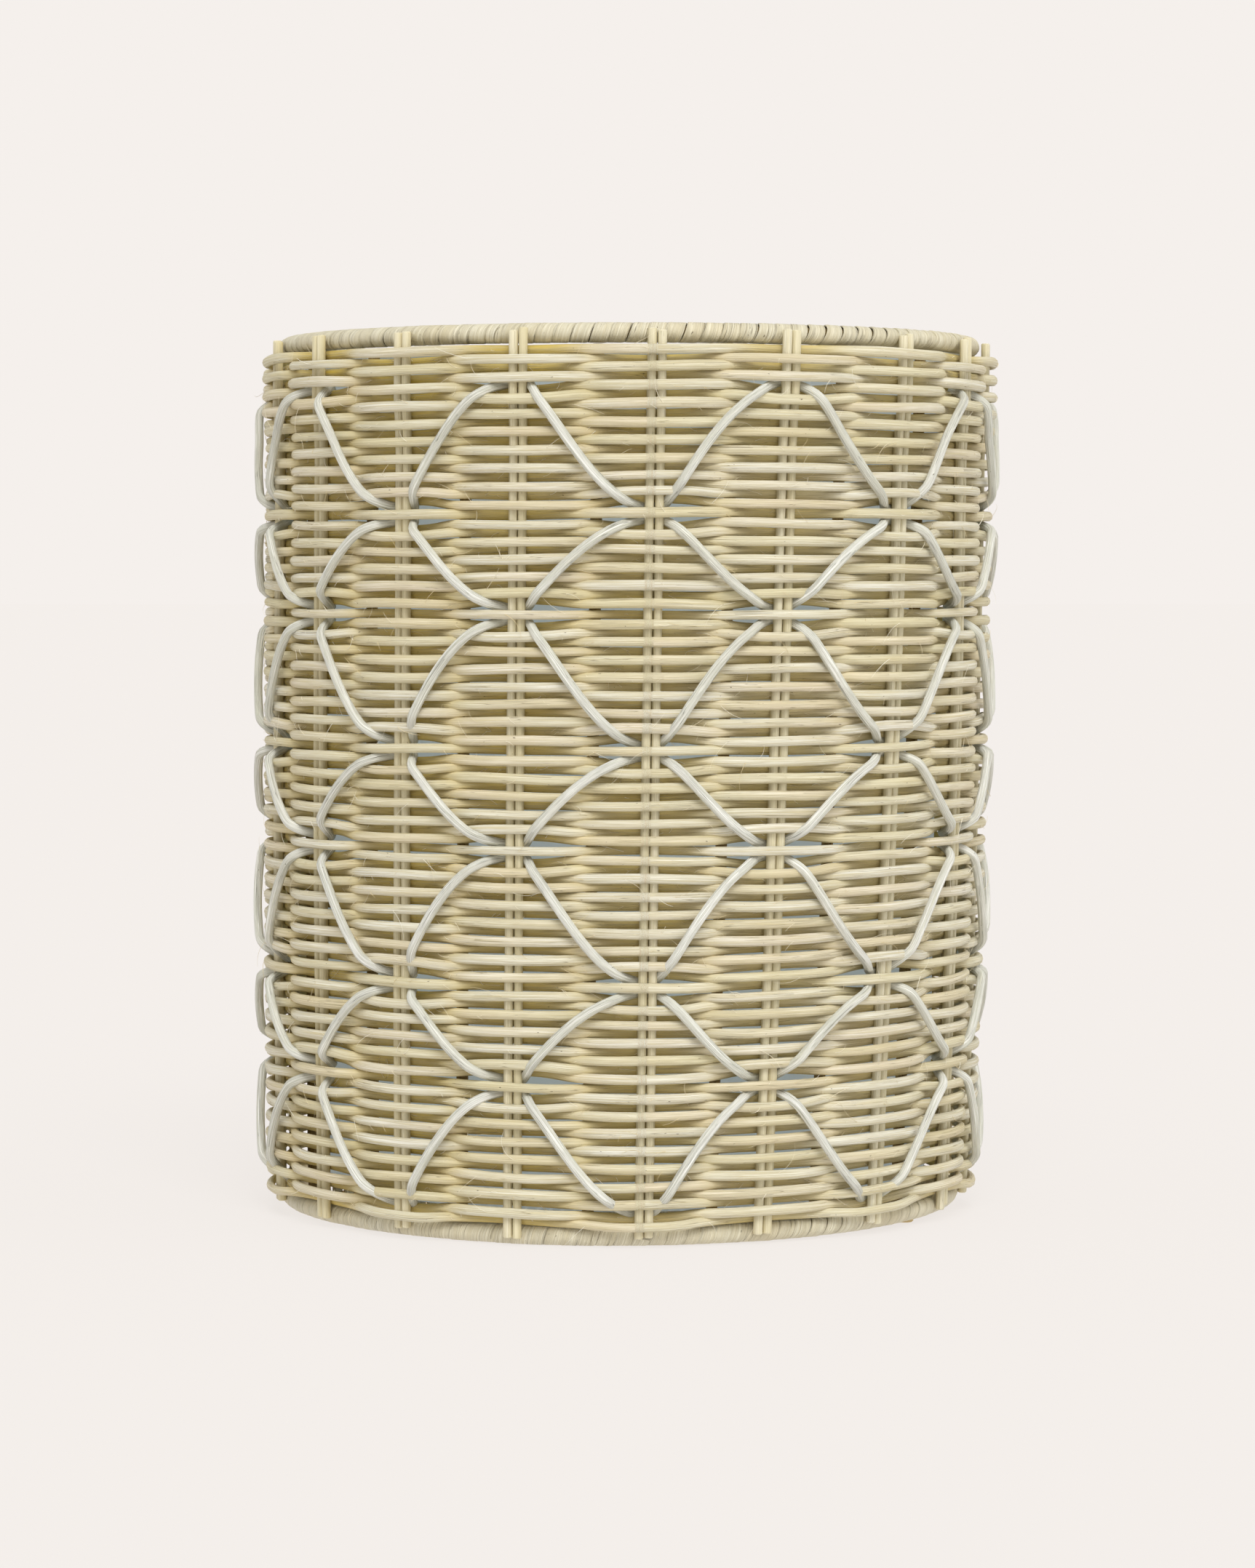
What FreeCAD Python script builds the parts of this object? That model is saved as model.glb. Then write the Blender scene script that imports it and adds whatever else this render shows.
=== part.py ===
"""Round woven cane wastebasket: paired stakes, woven rows, zigzag strands, wrapped rims and a liner."""

import FreeCAD, Part
import math
import os

# Driving dimensions, in millimetres and degrees. +Z is up and the origin is the centre of the bottom.
HEIGHT = 302.0
OUTER_RADIUS = 130.0  # over the zigzag strands
PAIR_COUNT = 18
PAIR_STEP = 360.0 / PAIR_COUNT
FRONT_ANGLE = -90.0  # the first stake pair faces -Y
GAP = 0.2  # least clearance between neighbouring strands
SLACK = 0.05  # added to that where curved strands pass each other

STAKE_DIAMETER = 3.0
STAKE_SPACING = 3.2  # between the two sticks of a pair
STAKE_BOTTOM = 2.5
STAKE_TOP = HEIGHT - 2.0
WEAVER_DIAMETER = 2.5
WAVE_DIAMETER = 2.6
WAVE_DEPTH = 5.85  # a zigzag strand's centre line outside the stakes', between two pairs
RIB_DIAMETER = 4.0

HOOP_SECTION = 6.6  # over the wrapping
FOOT_FLAT = 0.1  # the bottom rim's wrapping is worn flat this deep where it stands
WRAP_THICKNESS = 0.6
WRAP_CLEARANCE = 0.25

FIRST_ROW_HEIGHT = 293.2
ROW_PITCH = 2.77
WIDE_PITCH = 4.14  # where a zigzag strand runs beside a row
ROW_COUNT = 97
DIVIDER_ROWS = (4, 19, 30, 45, 56, 71, 82)  # a row that passes in front of a zigzag strand's turn
LAST_TURN_ROW = 95  # the lowest strand dips under this row before it turns back

LINER_FLOOR_RADIUS = 107.5
LINER_RIM_RADIUS = 110.5
LINER_WALL = 1.6
LINER_TOP = 293.0
LINER_BEAD_RADIUS = 1.8
LINER_CORNER = 12.0

CANE_DIAMETER = 3.6
CANE_PITCH = 4.0
BEARER_DIAMETER = 4.6
BEARER_SPACING = 64.0
BEARER_BOTTOM = 0.4

# A zigzag strand's route beside a turn, as distance along the rim from the stake pair, depth outside
# the stakes' centre line, and climb or drop away from the turn.
LEAVING = (
    (4.6, -2.4, 0.0),
    (6.6, 1.0, 1.2),
    (8.2, 4.6, 3.0),
    (10.0, WAVE_DEPTH, 5.6),
    (15.0, WAVE_DEPTH, 12.4),
)
ARRIVING = ((-15.6, WAVE_DEPTH, 6.6), (-11.6, 4.6, 3.4), (-8.6, 1.6, 1.7), (-4.6, -2.4, 0.0))
DIP_LEAVING = (
    (4.6, -2.4, 0.0),
    (6.5, 0.8, -1.0),
    (8.4, 4.3, -1.6),
    (10.4, WAVE_DEPTH, 0.6),
    (15.0, WAVE_DEPTH, 7.4),
)
DIP_ARRIVING = (
    (-15.0, WAVE_DEPTH, 4.2),
    (-10.8, 5.6, -0.4),
    (-8.4, 4.1, -1.6),
    (-6.5, 0.8, -1.0),
    (-4.6, -2.4, 0.0),
)

# Worked out from the above.
WEAVE_RADIUS = OUTER_RADIUS - WAVE_DIAMETER / 2 - WAVE_DEPTH  # centre line of the stakes
WEAVER_SWING = (STAKE_DIAMETER + WEAVER_DIAMETER) / 2 + GAP + SLACK
WEAVER_BEND = 52.0  # radius of a row's bend in front of a stake pair
HOOP_RADIUS = WEAVE_RADIUS - STAKE_DIAMETER / 2 - HOOP_SECTION / 2 - GAP
HOOP_INSIDE = HOOP_RADIUS - HOOP_SECTION / 2
TURN_DEPTH = -(STAKE_DIAMETER + WAVE_DIAMETER) / 2 - 4 * GAP
TURN_OFFSET = WAVE_DIAMETER / 2 + GAP / 2
RIB_RADIUS = WEAVE_RADIUS - WEAVER_SWING - (WEAVER_DIAMETER + RIB_DIAMETER) / 2 - GAP - SLACK
UP = FreeCAD.Vector(0, 0, 1)


def polar(radius, angle, height=0.0):
    """A point from its radius, its angle in degrees and its height."""
    turn = math.radians(angle)
    return FreeCAD.Vector(radius * math.cos(turn), radius * math.sin(turn), height)


def upright_rod(diameter, radius, angle, bottom, top, offset=0.0):
    """A vertical round stick, shifted sideways by offset along the rim."""
    aside = polar(offset, angle + 90)
    return Part.makeCylinder(diameter / 2, top - bottom, polar(radius, angle, bottom) + aside, UP)


def level_rod(diameter, start, end):
    """A straight round cane between two points."""
    return Part.makeCylinder(diameter / 2, start.distanceToPoint(end), start, end - start)


def swept_tube(path, diameter):
    """A round solid along a wire."""
    first = path.OrderedEdges[0]
    at = first.FirstParameter
    profile = Part.Wire([Part.makeCircle(diameter / 2, first.valueAt(at), first.tangentAt(at))])
    return path.makePipeShell([profile], True, False)


def row_heights():
    """Height of each woven row, from the top; the intervals beside a strand's turn are wide."""
    wide_after = {LAST_TURN_ROW}
    for row in DIVIDER_ROWS:
        wide_after.add(row)
        if row != DIVIDER_ROWS[0]:
            wide_after.add(row - 1)
    heights = [FIRST_ROW_HEIGHT]
    for row in range(1, ROW_COUNT):
        heights.append(heights[-1] - (WIDE_PITCH if row in wide_after else ROW_PITCH))
    return heights


def row_ring(first_over):
    """One woven row at height zero. It passes in front of every second pair and behind the others."""
    over = WEAVE_RADIUS + WEAVER_SWING - WEAVER_BEND
    inner = WEAVE_RADIUS - WEAVER_SWING
    cosine = math.cos(math.radians(PAIR_STEP))
    behind = (WEAVER_BEND**2 - over**2 - inner**2 + 2 * over * inner * cosine) / (
        2 * (inner - over * cosine - WEAVER_BEND)
    )
    edges = []
    for n in range(0, PAIR_COUNT, 2):
        angle = FRONT_ANGLE + (n + first_over) * PAIR_STEP
        centre = polar(over, angle)
        before = polar(inner + behind, angle - PAIR_STEP)
        after = polar(inner + behind, angle + PAIR_STEP)
        start = centre + (before - centre).normalize() * WEAVER_BEND
        end = centre + (after - centre).normalize() * WEAVER_BEND
        top = polar(WEAVE_RADIUS + WEAVER_SWING, angle)
        low = polar(inner, angle + PAIR_STEP)
        far_centre = polar(over, angle + 2 * PAIR_STEP)
        again = far_centre + (after - far_centre).normalize() * WEAVER_BEND
        edges.append(Part.Arc(start, top, end).toShape())
        edges.append(Part.Arc(end, low, again).toShape())
    return swept_tube(Part.Wire(edges), WEAVER_DIAMETER)


def woven_rows(first, last):
    """Rows first to last, counted from the top. Odd rows pass in front of the front pair."""
    heights = row_heights()
    rings = [row_ring(0), row_ring(1)]
    rows = []
    for row in range(first, last + 1):
        ring = rings[(row + 1) % 2].copy()
        ring.translate(FreeCAD.Vector(0, 0, heights[row - 1]))
        rows.append(ring)
    return Part.makeCompound(rows)


def rounded_path(points):
    """Straight runs joined by tangent arcs, as large as the runs allow."""
    edges = []
    last = points[0]
    for before, corner, after in zip(points, points[1:], points[2:]):
        inward = (before - corner).normalize()
        outward = (after - corner).normalize()
        reach = 0.45 * min(before.distanceToPoint(corner), corner.distanceToPoint(after))
        half = inward.getAngle(outward) / 2
        middle = (inward + outward).normalize()
        centre = corner + middle * (reach / math.cos(half))
        radius = reach * math.tan(half)
        start = corner + inward * reach
        end = corner + outward * reach
        edges.append(Part.LineSegment(last, start).toShape())
        edges.append(Part.Arc(start, centre - middle * radius, end).toShape())
        last = end
    edges.append(Part.LineSegment(last, points[-1]).toShape())
    return Part.Wire(edges)


def zigzag_points(top_turn, bottom_turn, first_top, dips):
    """Route of a zigzag strand: behind a pair at each turn, outside the rows between them."""
    outside = OUTER_RADIUS - WAVE_DIAMETER / 2
    points = []
    for n in range(PAIR_COUNT):
        angle = FRONT_ANGLE + (n + first_top) * PAIR_STEP
        falls = n % 2 == 0
        here, there = (top_turn, bottom_turn) if falls else (bottom_turn, top_turn)
        down = 1 if falls else -1
        leaving = DIP_LEAVING if dips and not falls else LEAVING
        arriving = DIP_ARRIVING if dips and falls else ARRIVING
        points.append(polar(WEAVE_RADIUS + TURN_DEPTH, angle, here))
        for along, depth, drop in leaving:
            turn = angle + math.degrees(along / WEAVE_RADIUS)
            points.append(polar(WEAVE_RADIUS + depth, turn, here - down * drop))
        start = here - down * leaving[-1][2]
        end = there + down * arriving[0][2]
        points.append(polar(outside, angle + PAIR_STEP / 2, (start + end) / 2))
        for along, depth, drop in arriving:
            turn = angle + PAIR_STEP + math.degrees(along / WEAVE_RADIUS)
            points.append(polar(WEAVE_RADIUS + depth, turn, there + down * drop))
    return points


def zigzag_strand(tier):
    """The strand of one tier. Its two ends meet behind the pair where it starts."""
    heights = row_heights()
    top_turn = heights[DIVIDER_ROWS[tier] - 1] - TURN_OFFSET
    dips = tier + 1 == len(DIVIDER_ROWS)
    if dips:
        bottom_turn = heights[LAST_TURN_ROW - 1] - TURN_OFFSET
    else:
        bottom_turn = heights[DIVIDER_ROWS[tier + 1] - 1] + TURN_OFFSET
    points = zigzag_points(top_turn, bottom_turn, 1 - tier % 2, dips)
    start = points[0]
    first = start + (points[1] - start).normalize() * GAP
    last = start + (points[-1] - start).normalize() * GAP
    return swept_tube(rounded_path([first] + points[1:] + [last]), WAVE_DIAMETER)


def hoop_core(height):
    """Bent rod inside a wrapped rim."""
    section = HOOP_SECTION / 2 - WRAP_THICKNESS - WRAP_CLEARANCE
    return Part.makeTorus(HOOP_RADIUS, section, FreeCAD.Vector(0, 0, height))


def rim_wrap(height):
    """Flat cane wound round a hoop, as one closed skin."""
    centre = FreeCAD.Vector(0, 0, height)
    skin = Part.makeTorus(HOOP_RADIUS, HOOP_SECTION / 2, centre)
    return skin.cut(Part.makeTorus(HOOP_RADIUS, HOOP_SECTION / 2 - WRAP_THICKNESS, centre))


def worn_flat(wrap):
    """The bottom rim's wrapping, cut level with the surface that the basket stands on."""
    side = 2 * OUTER_RADIUS
    below = FreeCAD.Vector(-OUTER_RADIUS, -OUTER_RADIUS, -HOOP_SECTION)
    return wrap.cut(Part.makeBox(side, side, HOOP_SECTION, below))


def outer_stakes():
    """Two sticks side by side at each pair."""
    sticks = []
    for n in range(PAIR_COUNT):
        angle = FRONT_ANGLE + n * PAIR_STEP
        for side in (-0.5, 0.5):
            offset = side * STAKE_SPACING
            sticks.append(
                upright_rod(STAKE_DIAMETER, WEAVE_RADIUS, angle, STAKE_BOTTOM, STAKE_TOP, offset)
            )
    return Part.makeCompound(sticks)


def inner_ribs():
    """One thicker rod between each two pairs, inside the weave, from hoop to hoop."""
    bottom = HOOP_SECTION + GAP
    top = HEIGHT - HOOP_SECTION - GAP
    ribs = []
    for n in range(PAIR_COUNT):
        angle = FRONT_ANGLE + (n + 0.5) * PAIR_STEP
        ribs.append(upright_rod(RIB_DIAMETER, RIB_RADIUS, angle, bottom, top))
    return Part.makeCompound(ribs)


def base_bearers():
    """Round rods across the bottom hoop, under the floor canes."""
    height = BEARER_DIAMETER / 2 + BEARER_BOTTOM
    rods = []
    for n in (-1, 0, 1):
        y = n * BEARER_SPACING
        half = math.sqrt((HOOP_INSIDE - GAP) ** 2 - (abs(y) + BEARER_DIAMETER / 2) ** 2)
        start = FreeCAD.Vector(-half, y, height)
        rods.append(level_rod(BEARER_DIAMETER, start, FreeCAD.Vector(half, y, height)))
    return Part.makeCompound(rods)


def base_canes():
    """The floor: straight canes side by side on the bearers, cut to a circle."""
    height = BEARER_BOTTOM + BEARER_DIAMETER + GAP + CANE_DIAMETER / 2
    edge = HOOP_INSIDE - 3 * GAP
    count = int(edge // CANE_PITCH)
    canes = []
    for n in range(-count, count + 1):
        x = n * CANE_PITCH
        half = math.sqrt(max(edge**2 - (abs(x) + CANE_DIAMETER / 2) ** 2, 0))
        if half > 4 * CANE_DIAMETER:
            start = FreeCAD.Vector(x, -half, height)
            canes.append(level_rod(CANE_DIAMETER, start, FreeCAD.Vector(x, half, height)))
    return Part.makeCompound(canes)


def liner():
    """Tapered moulded cup with a rolled bead round its rim, standing on the floor canes."""
    bottom = BEARER_BOTTOM + BEARER_DIAMETER + CANE_DIAMETER + 2 * GAP
    lean = (LINER_RIM_RADIUS - LINER_FLOOR_RADIUS) / (LINER_TOP - bottom)
    outside = Part.makeCone(LINER_FLOOR_RADIUS, LINER_RIM_RADIUS, LINER_TOP - bottom)
    edge = [e for e in outside.Edges if e.BoundBox.ZMax < 1 and e.BoundBox.XLength > 1]
    outside = outside.makeFillet(LINER_CORNER, edge)
    floor_radius = LINER_FLOOR_RADIUS + LINER_WALL * lean - LINER_WALL
    depth = LINER_TOP - bottom - LINER_WALL
    inside = Part.makeCone(floor_radius, floor_radius + lean * (depth + 1), depth + 1)
    edge = [e for e in inside.Edges if e.BoundBox.ZMax < 1 and e.BoundBox.XLength > 1]
    inside = inside.makeFillet(LINER_CORNER - LINER_WALL, edge)
    inside.translate(FreeCAD.Vector(0, 0, LINER_WALL))
    cup = outside.cut(inside)
    bead_height = LINER_TOP - bottom - 0.1
    bead_radius = LINER_RIM_RADIUS - LINER_WALL / 2
    bead = Part.makeTorus(bead_radius, LINER_BEAD_RADIUS, FreeCAD.Vector(0, 0, bead_height))
    cup = cup.fuse(bead).removeSplitter()
    cup.translate(FreeCAD.Vector(0, 0, bottom))
    return cup


def save(name, shape):
    """Writes one sub-part and prints its size."""
    solids = shape.Solids
    valid = shape.isValid() and all(s.isClosed() for s in solids)
    box = shape.BoundBox
    shape.exportStep(f"parts/{name}.step")
    print(
        f"{name}: {len(solids)} solids, valid {valid}, volume {shape.Volume:.0f},",
        f"z {box.ZMin:.2f} to {box.ZMax:.2f}, reach {max(box.XMax, box.YMax):.2f}",
    )


def main():
    os.makedirs("parts", exist_ok=True)
    top_hoop = HEIGHT - HOOP_SECTION / 2
    bottom_hoop = HOOP_SECTION / 2 - FOOT_FLAT
    save("top_hoop_core", hoop_core(top_hoop))
    save("top_rim_wrap", rim_wrap(top_hoop))
    save("bottom_hoop_core", hoop_core(bottom_hoop))
    save("bottom_rim_wrap", worn_flat(rim_wrap(bottom_hoop)))
    save("outer_stakes", outer_stakes())
    save("inner_ribs", inner_ribs())
    save("base_bearers", base_bearers())
    save("base_canes", base_canes())
    save("liner", liner())
    save("border_rows_top", woven_rows(1, DIVIDER_ROWS[0]))
    ends = DIVIDER_ROWS[1:] + (LAST_TURN_ROW,)
    for tier, (above, last) in enumerate(zip(DIVIDER_ROWS, ends)):
        save(f"tier_{tier + 1}_rows", woven_rows(above + 1, last))
        save(f"zigzag_strand_{tier + 1}", zigzag_strand(tier))
    save("border_rows_bottom", woven_rows(LAST_TURN_ROW + 1, ROW_COUNT))


main()
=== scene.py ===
import math

import bpy
import numpy as np
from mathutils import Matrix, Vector


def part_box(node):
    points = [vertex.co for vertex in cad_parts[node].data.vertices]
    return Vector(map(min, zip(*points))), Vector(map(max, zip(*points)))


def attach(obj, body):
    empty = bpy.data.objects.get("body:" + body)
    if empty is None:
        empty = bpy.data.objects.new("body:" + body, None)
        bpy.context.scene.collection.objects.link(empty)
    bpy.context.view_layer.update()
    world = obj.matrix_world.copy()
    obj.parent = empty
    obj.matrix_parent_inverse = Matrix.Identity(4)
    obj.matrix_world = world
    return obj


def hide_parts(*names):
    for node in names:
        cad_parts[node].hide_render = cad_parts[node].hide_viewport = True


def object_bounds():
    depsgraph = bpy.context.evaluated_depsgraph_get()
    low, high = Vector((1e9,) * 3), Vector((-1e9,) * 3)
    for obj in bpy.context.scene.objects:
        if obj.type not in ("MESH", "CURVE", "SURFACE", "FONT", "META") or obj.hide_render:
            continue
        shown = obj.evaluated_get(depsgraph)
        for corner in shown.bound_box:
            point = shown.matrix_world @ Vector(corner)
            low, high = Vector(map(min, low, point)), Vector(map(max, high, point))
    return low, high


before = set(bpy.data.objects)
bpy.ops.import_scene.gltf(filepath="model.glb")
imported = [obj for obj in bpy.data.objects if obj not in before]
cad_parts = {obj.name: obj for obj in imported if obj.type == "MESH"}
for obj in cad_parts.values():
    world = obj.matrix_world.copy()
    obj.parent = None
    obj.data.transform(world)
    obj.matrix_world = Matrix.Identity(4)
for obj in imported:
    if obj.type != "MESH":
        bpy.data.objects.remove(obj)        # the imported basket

cadBounds = [[float(v) for v in corner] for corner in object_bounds()]
mm = 0.001
print("frame loaded")


def boxOf(node):
    # lowest and highest corner of a frame node, in millimetres
    return [[v / mm for v in corner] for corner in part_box(node)]


rimLow, rimHigh = boxOf("top_rim_wrap")
stakeLow, stakeHigh = boxOf("outer_stakes")
ribLow, ribHigh = boxOf("inner_ribs")
linerLow, linerHigh = boxOf("liner")

basket = {
    "height": rimHigh[2],
    "pairCount": 18,
    "hoopSection": rimHigh[2] - rimLow[2],
    "hoopRadius": rimHigh[0] - (rimHigh[2] - rimLow[2]) / 2,
    "weaveRadius": rimHigh[0] + 1.7,    # centre line of the outer stakes
    "lean": 3.4,             # the axis drifts this far to the right from foot to rim
    "footLift": 1.9,         # the foot rests at the front and back, its sides are higher
    "footTilt": 0.6,         # and the right side a little more
    "footRest": 0.25,        # room for the thickest turns of the winding underneath
    "footTaper": 0.023,      # share by which the foot is narrower than the rim
    "taperPower": 2.5,       # above 1 most of that narrowing is near the foot
    "rimFlare": 1.2,         # how far the top rows are pushed out where they meet the rim
    "flareFrom": 264.0,      # height where that begins
    "flareLength": 14.0,
    "flareDepth": 5.0,       # it grows from nothing at the hoop's own circle to full this far outside
    "swell": 0.65,           # the right side bulges out by this, the left side in
    "outOfRound": [(2, 0.5, 0.8), (3, 0.3, -1.1)],    # waves round the body, their size and start
}
pairStep = 2 * math.pi / basket["pairCount"]
seedStream = np.random.default_rng(20260418)


def smooth(t):
    t = np.clip(t, 0.0, 1.0)
    return t * t * (3.0 - 2.0 * t)


def ramp(value, start, end):
    return smooth((value - start) / (end - start))


# handmade drift of the stake pairs in degrees, going right from the front pair
pairDrift = {
    "rim": [0.9, 1.9, 4.2, 3.0, 0.6, -0.8, 0.4, 1.1, -0.6]
    + [0.3, -1.0, 0.5, 0.9, -0.4, 0.2, -0.6, -0.4, -0.2],
    "foot": [0.5, -0.4, 1.2, 2.2, 0.9, 0.6, -0.5, 0.4, 0.8]
    + [-0.7, 0.3, -0.4, 0.6, 0.7, -0.8, 0.3, -0.2, -0.3],
}


def driftAt(theta, level):
    # sideways drift, eased from one pair to the next
    where = np.mod(theta / pairStep, basket["pairCount"])
    left = np.floor(where).astype(int) % basket["pairCount"]
    right = (left + 1) % basket["pairCount"]
    ease = smooth(where - np.floor(where))
    rim, foot = np.radians(pairDrift["rim"]), np.radians(pairDrift["foot"])
    atRim = rim[left] * (1 - ease) + rim[right] * ease
    atFoot = foot[left] * (1 - ease) + foot[right] * ease
    return atFoot * (1 - level) + atRim * level


def taperAt(level):
    return 1 - basket["footTaper"] * (1 - level) ** basket["taperPower"]


def flareAt(height):
    start = basket["flareFrom"]
    return basket["rimFlare"] * ramp(height, start, start + basket["flareLength"])


def place(theta, radius, height):
    # turns an ideal cylinder into the handmade body; theta runs right from the front
    level = np.clip(height / basket["height"], 0.0, 1.0)
    turn = theta + driftAt(theta, level)
    woven = np.clip((radius - basket["hoopRadius"]) / basket["flareDepth"], 0.0, 1.0)
    reach = radius * taperAt(level) + woven * flareAt(height) + basket["swell"] * np.sin(turn)
    for waves, size, start in basket["outOfRound"]:
        reach = reach + size * np.sin(waves * turn + start)
    x = reach * np.sin(turn) + basket["lean"] * (level - 0.5)
    y = -reach * np.cos(turn)
    side = x / basket["weaveRadius"]
    lift = basket["footLift"] * side**2 + basket["footTilt"] * side + basket["footRest"]
    z = height + lift * (1 - level) ** 2
    return np.stack(np.broadcast_arrays(x, y, z), axis=-1)


def straightened(verts):
    # how far from the axis these points would be without the lean, the taper and the flare
    level = np.clip(verts[:, 2] / basket["height"], 0.0, 1.0)
    reach = np.hypot(verts[:, 0] - basket["lean"] * (level - 0.5), verts[:, 1])
    return (reach - flareAt(verts[:, 2])) / taperAt(level)


def unit(v):
    return v / np.maximum(np.linalg.norm(v, axis=-1, keepdims=True), 1e-9)


# how a strand's section wanders: share, lobes round the section, phase for each millimetre of length
unevenSection = [(1.0, 2, 0.045), (0.7, 3, -0.11), (0.8, 0, 0.23)]


def sweep(centre, outward, thick, wide=None, sides=10, closed=False, power=2.0,
          capped=False, wander=0.02):
    # a strand along centre: thick is its half size outwards, wide its half size across
    n = len(centre)
    wide = thick if wide is None else wide
    if closed:
        along = np.roll(centre, -1, 0) - np.roll(centre, 1, 0)
    else:
        along = np.gradient(centre, axis=0)
    along = unit(along)
    out = unit(outward - along * np.sum(outward * along, axis=1, keepdims=True))
    across = np.cross(along, out)
    gaps = np.linalg.norm(np.diff(centre, axis=0), axis=1)
    length = np.concatenate([[0.0], np.cumsum(gaps)])
    angle = np.arange(sides) * 2 * math.pi / sides
    c, s = np.cos(angle), np.sin(angle)
    c = np.sign(c) * np.abs(c) ** (2 / power)
    s = np.sign(s) * np.abs(s) ** (2 / power)
    phase = seedStream.uniform(0, 6.28, 3)
    uneven = 0.0
    for (size, lobes, perLength), start in zip(unevenSection, phase):
        uneven = uneven + size * np.sin(lobes * angle[None, :] + length[:, None] * perLength + start)
    rough = 1 + wander * uneven
    thickAt = np.broadcast_to(np.asarray(thick, float), (n,))[:, None] * c[None, :] * rough
    wideAt = np.broadcast_to(np.asarray(wide, float), (n,))[:, None] * s[None, :] * rough
    verts = centre[:, None, :] + out[:, None, :] * thickAt[..., None]
    verts = verts + across[:, None, :] * wideAt[..., None]
    laid = np.stack(np.broadcast_arrays(length[:, None], thickAt, wideAt), axis=-1)
    rings = n if closed else n - 1
    i, j = np.meshgrid(np.arange(rings), np.arange(sides), indexing="ij")
    a, b = i * sides + j, i * sides + (j + 1) % sides
    up = ((i + 1) % n) * sides
    quads = np.stack([a, up + j, up + (j + 1) % sides, b], axis=-1).reshape(-1, 4)
    verts, laid = verts.reshape(-1, 3), laid.reshape(-1, 3)
    caps = np.zeros((0, 3), int)
    cut = np.zeros(0, int)
    if capped:
        middle = len(verts)
        verts = np.vstack([verts, centre[[0]], centre[[-1]]])
        laid = np.vstack([laid, [[0, 0, 0]], [[length[-1], 0, 0]]])
        ring = np.arange(sides)
        after = (ring + 1) % sides
        last = (n - 1) * sides
        low = np.stack([ring, after, np.full(sides, middle)], axis=-1)
        high = np.stack([last + after, last + ring, np.full(sides, middle + 1)], axis=-1)
        caps = np.vstack([low, high])
        cut = np.concatenate([ring, last + ring, [middle, middle + 1]])
    return {"verts": verts, "quads": quads, "caps": caps, "laid": laid, "cut": cut}


cutTone = 1.3    # freshly cut ends are the palest


def join(strands, spread):
    # many strands in one mesh; each gets its own tone, and its own stretch of the grain
    verts, laid, tone, quads, caps, start = [], [], [], [], [], 0
    for strand in strands:
        count = len(strand["verts"])
        shift = seedStream.uniform(0, 900, 3) * (1, 0.1, 0.1)
        verts.append(strand["verts"])
        laid.append(strand["laid"] + shift)
        tone.append(np.full(count, 0.5 + spread * seedStream.uniform(-1, 1)))
        tone[-1][strand["cut"]] = cutTone
        quads.append(strand["quads"] + start)
        caps.append(strand["caps"] + start)
        start += count
    return [np.concatenate(part) for part in (verts, laid, tone, quads, caps)]


# painted shade: the golden shade colour starts this far outside the stakes' centre line and is full this
# far inside
recessShadeSpan = (3.2, 4.2)


def makePiece(name, strands, material, body, nodes=(), spread=0.5):
    verts, laid, tone, quads, caps = join(strands, spread)
    mesh = bpy.data.meshes.new(name)
    mesh.vertices.add(len(verts))
    mesh.vertices.foreach_set("co", (verts * mm).ravel())
    loops = np.concatenate([quads.ravel(), caps.ravel()])
    sizes = np.concatenate([np.full(len(quads), 4), np.full(len(caps), 3)])
    mesh.loops.add(len(loops))
    mesh.loops.foreach_set("vertex_index", loops.astype(np.int32))
    mesh.polygons.add(len(sizes))
    starts = np.concatenate([[0], np.cumsum(sizes)[:-1]])
    mesh.polygons.foreach_set("loop_start", starts.astype(np.int32))
    smoothSides = np.concatenate([np.ones(len(quads), bool), np.zeros(len(caps), bool)])
    mesh.polygons.foreach_set("use_smooth", smoothSides)
    mesh.update(calc_edges=True)
    mesh.attributes.new("laid", "FLOAT_VECTOR", "POINT").data.foreach_set("vector", laid.ravel())
    mesh.attributes.new("tone", "FLOAT", "POINT").data.foreach_set("value", tone)
    # painted shade: strands lying inside the weave get a deeper golden colour in place of real shade
    inwards = basket["weaveRadius"] - straightened(verts)
    paintedRecessShade = ramp(inwards, -recessShadeSpan[0], recessShadeSpan[1])
    mesh.attributes.new("paintedRecessShade", "FLOAT", "POINT").data.foreach_set("value", paintedRecessShade)
    mesh.materials.append(material)
    piece = bpy.data.objects.new(name, mesh)
    bpy.context.scene.collection.objects.link(piece)
    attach(piece, body)
    for node in nodes:
        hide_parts(node)
    return piece


def addNode(tree, kind, **settings):
    # settings that match a socket name set that socket, the others set the node itself
    node = tree.nodes.new(kind)
    for name, value in settings.items():
        if name in node.inputs:
            node.inputs[name].default_value = value
        else:
            setattr(node, name, value)
    return node


def plug(tree, socket, value):
    # another node's output is linked, a plain value is set
    if hasattr(value, "is_output"):
        tree.links.new(value, socket)
    else:
        socket.default_value = value


def mathNode(tree, operation, *values, clamp=False):
    node = tree.nodes.new("ShaderNodeMath")
    node.operation = operation
    node.use_clamp = clamp
    for index, value in enumerate(values):
        plug(tree, node.inputs[index], value)
    return node.outputs[0]


def rangeNode(tree, value, low, high, start=0.0, end=1.0):
    # value going from low to high becomes start to end, and no further
    node = addNode(tree, "ShaderNodeMapRange", clamp=True)
    labels = ("Value", "From Min", "From Max", "To Min", "To Max")
    for label, given in zip(labels, (value, low, high, start, end)):
        plug(tree, node.inputs[label], given)
    return node.outputs[0]


def mixColour(tree, factor, first, second):
    node = tree.nodes.new("ShaderNodeMix")
    node.data_type = "RGBA"
    for index, value in ((0, factor), (6, first), (7, second)):
        plug(tree, node.inputs[index], value)
    return node.outputs[2]


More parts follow.
